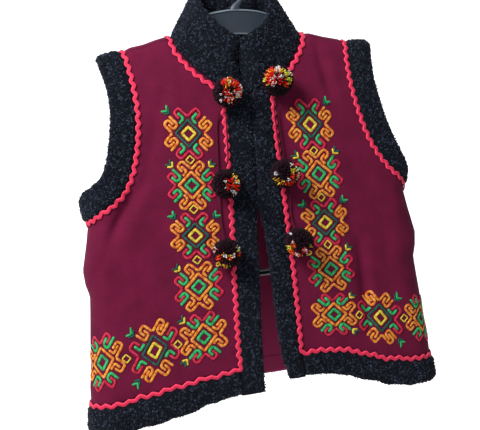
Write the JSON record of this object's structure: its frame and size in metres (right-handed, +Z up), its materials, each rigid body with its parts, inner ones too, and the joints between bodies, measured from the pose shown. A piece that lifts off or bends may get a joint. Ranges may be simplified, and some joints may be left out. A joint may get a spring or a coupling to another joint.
{
  "type": "embroidered folk vest on a hanger",
  "caption": "Sleeveless cropped vest with a stand collar, deep boucle borders, rickrack braid, embroidered fronts and pompoms on cords, hanging on a moulded hanger.",
  "frame": {"origin": "inner top of the hanger's hook, where the rail bears", "axes": "+Z up, front of the vest faces -Y, +X to the right of a viewer who faces the front"},
  "size_m": [0.493, 0.1323, 0.6155],
  "materials": {
    "cloth": "matt wool cloth",
    "boucle": "curled pile",
    "rickrack": "satin braid",
    "cord": "twisted",
    "pompom": "cut yarn",
    "hanger": "satin moulded"
  },
  "bodies": {
    "root": {"back": "cloth", "front_left": "cloth", "front_right": "cloth", "collar": "boucle", "front_band_left": "boucle", "front_band_right": "boucle", "hem_band_left": "boucle", "hem_band_right": "boucle", "hem_band_back": "boucle", "armhole_band_left": "boucle", "armhole_band_right": "boucle", "armhole_braid_left": "rickrack", "armhole_braid_right": "rickrack", "front_braid_left": "rickrack", "front_braid_right": "rickrack", "hem_braid_back": "rickrack", "collar_braid": "rickrack", "pompom_neck_left": "pompom", "pompom_neck_right": "pompom", "pompom_mid_left": "pompom", "pompom_mid_right": "pompom", "pompom_low_left": "pompom", "pompom_low_right": "pompom", "cord_mid_left": "cord", "cord_mid_right": "cord", "cord_low_left": "cord", "cord_low_right": "cord", "hanger": "hanger"}
  },
  "joints": []
}
